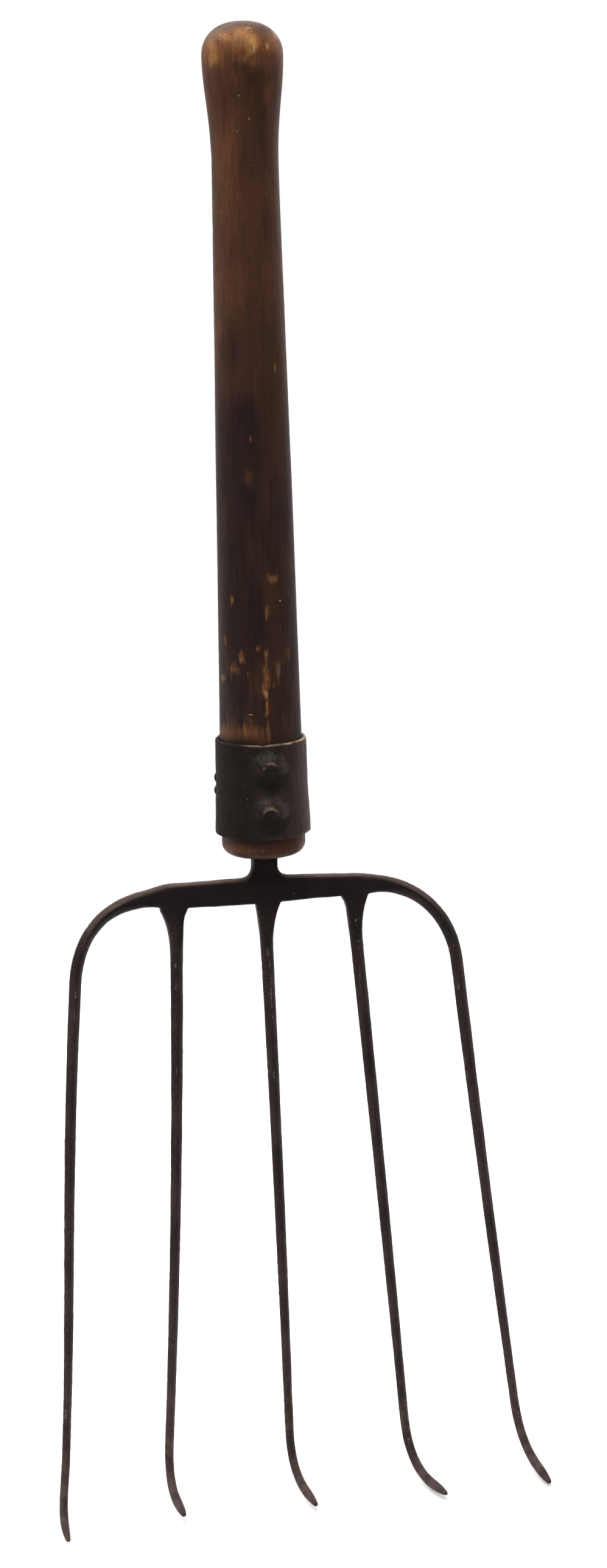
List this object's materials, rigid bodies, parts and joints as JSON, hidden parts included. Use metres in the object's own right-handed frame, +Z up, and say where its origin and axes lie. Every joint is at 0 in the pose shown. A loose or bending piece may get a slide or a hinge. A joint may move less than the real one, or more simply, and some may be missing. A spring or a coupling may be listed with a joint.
{
  "type": "hand fork",
  "caption": "Hand-forged farm fork: hooked tines on a bowed crosshead, tang riveted through an iron band into a knobbed wooden handle.",
  "frame": {"origin": "middle of the whole object's box in plan, at the height of the lowest tine tip", "axes": "+Z up the handle, X across the row of tines, tips hooked towards -Y, which is the front in the picture"},
  "size_m": [0.3202, 0.1174, 0.9349],
  "materials": {
    "handle_wood": "dark red-brown hardwood, hand polished by use, with worn tan patches and fine long grain",
    "forged_iron": "hand-forged wrought iron with a near-black brown patina and small bright wear marks on the ridges",
    "band_iron": "dark grey-brown pitted iron sheet with a worn upper rim",
    "rivet_iron": "hammered iron, dark brown with worn shoulders"
  },
  "bodies": {
    "root": {"handle": "handle_wood", "fork_head": "forged_iron", "band": "band_iron", "upper_rivet": "rivet_iron", "lower_rivet": "rivet_iron", "seam_rivets": "rivet_iron"}
  },
  "joints": []
}
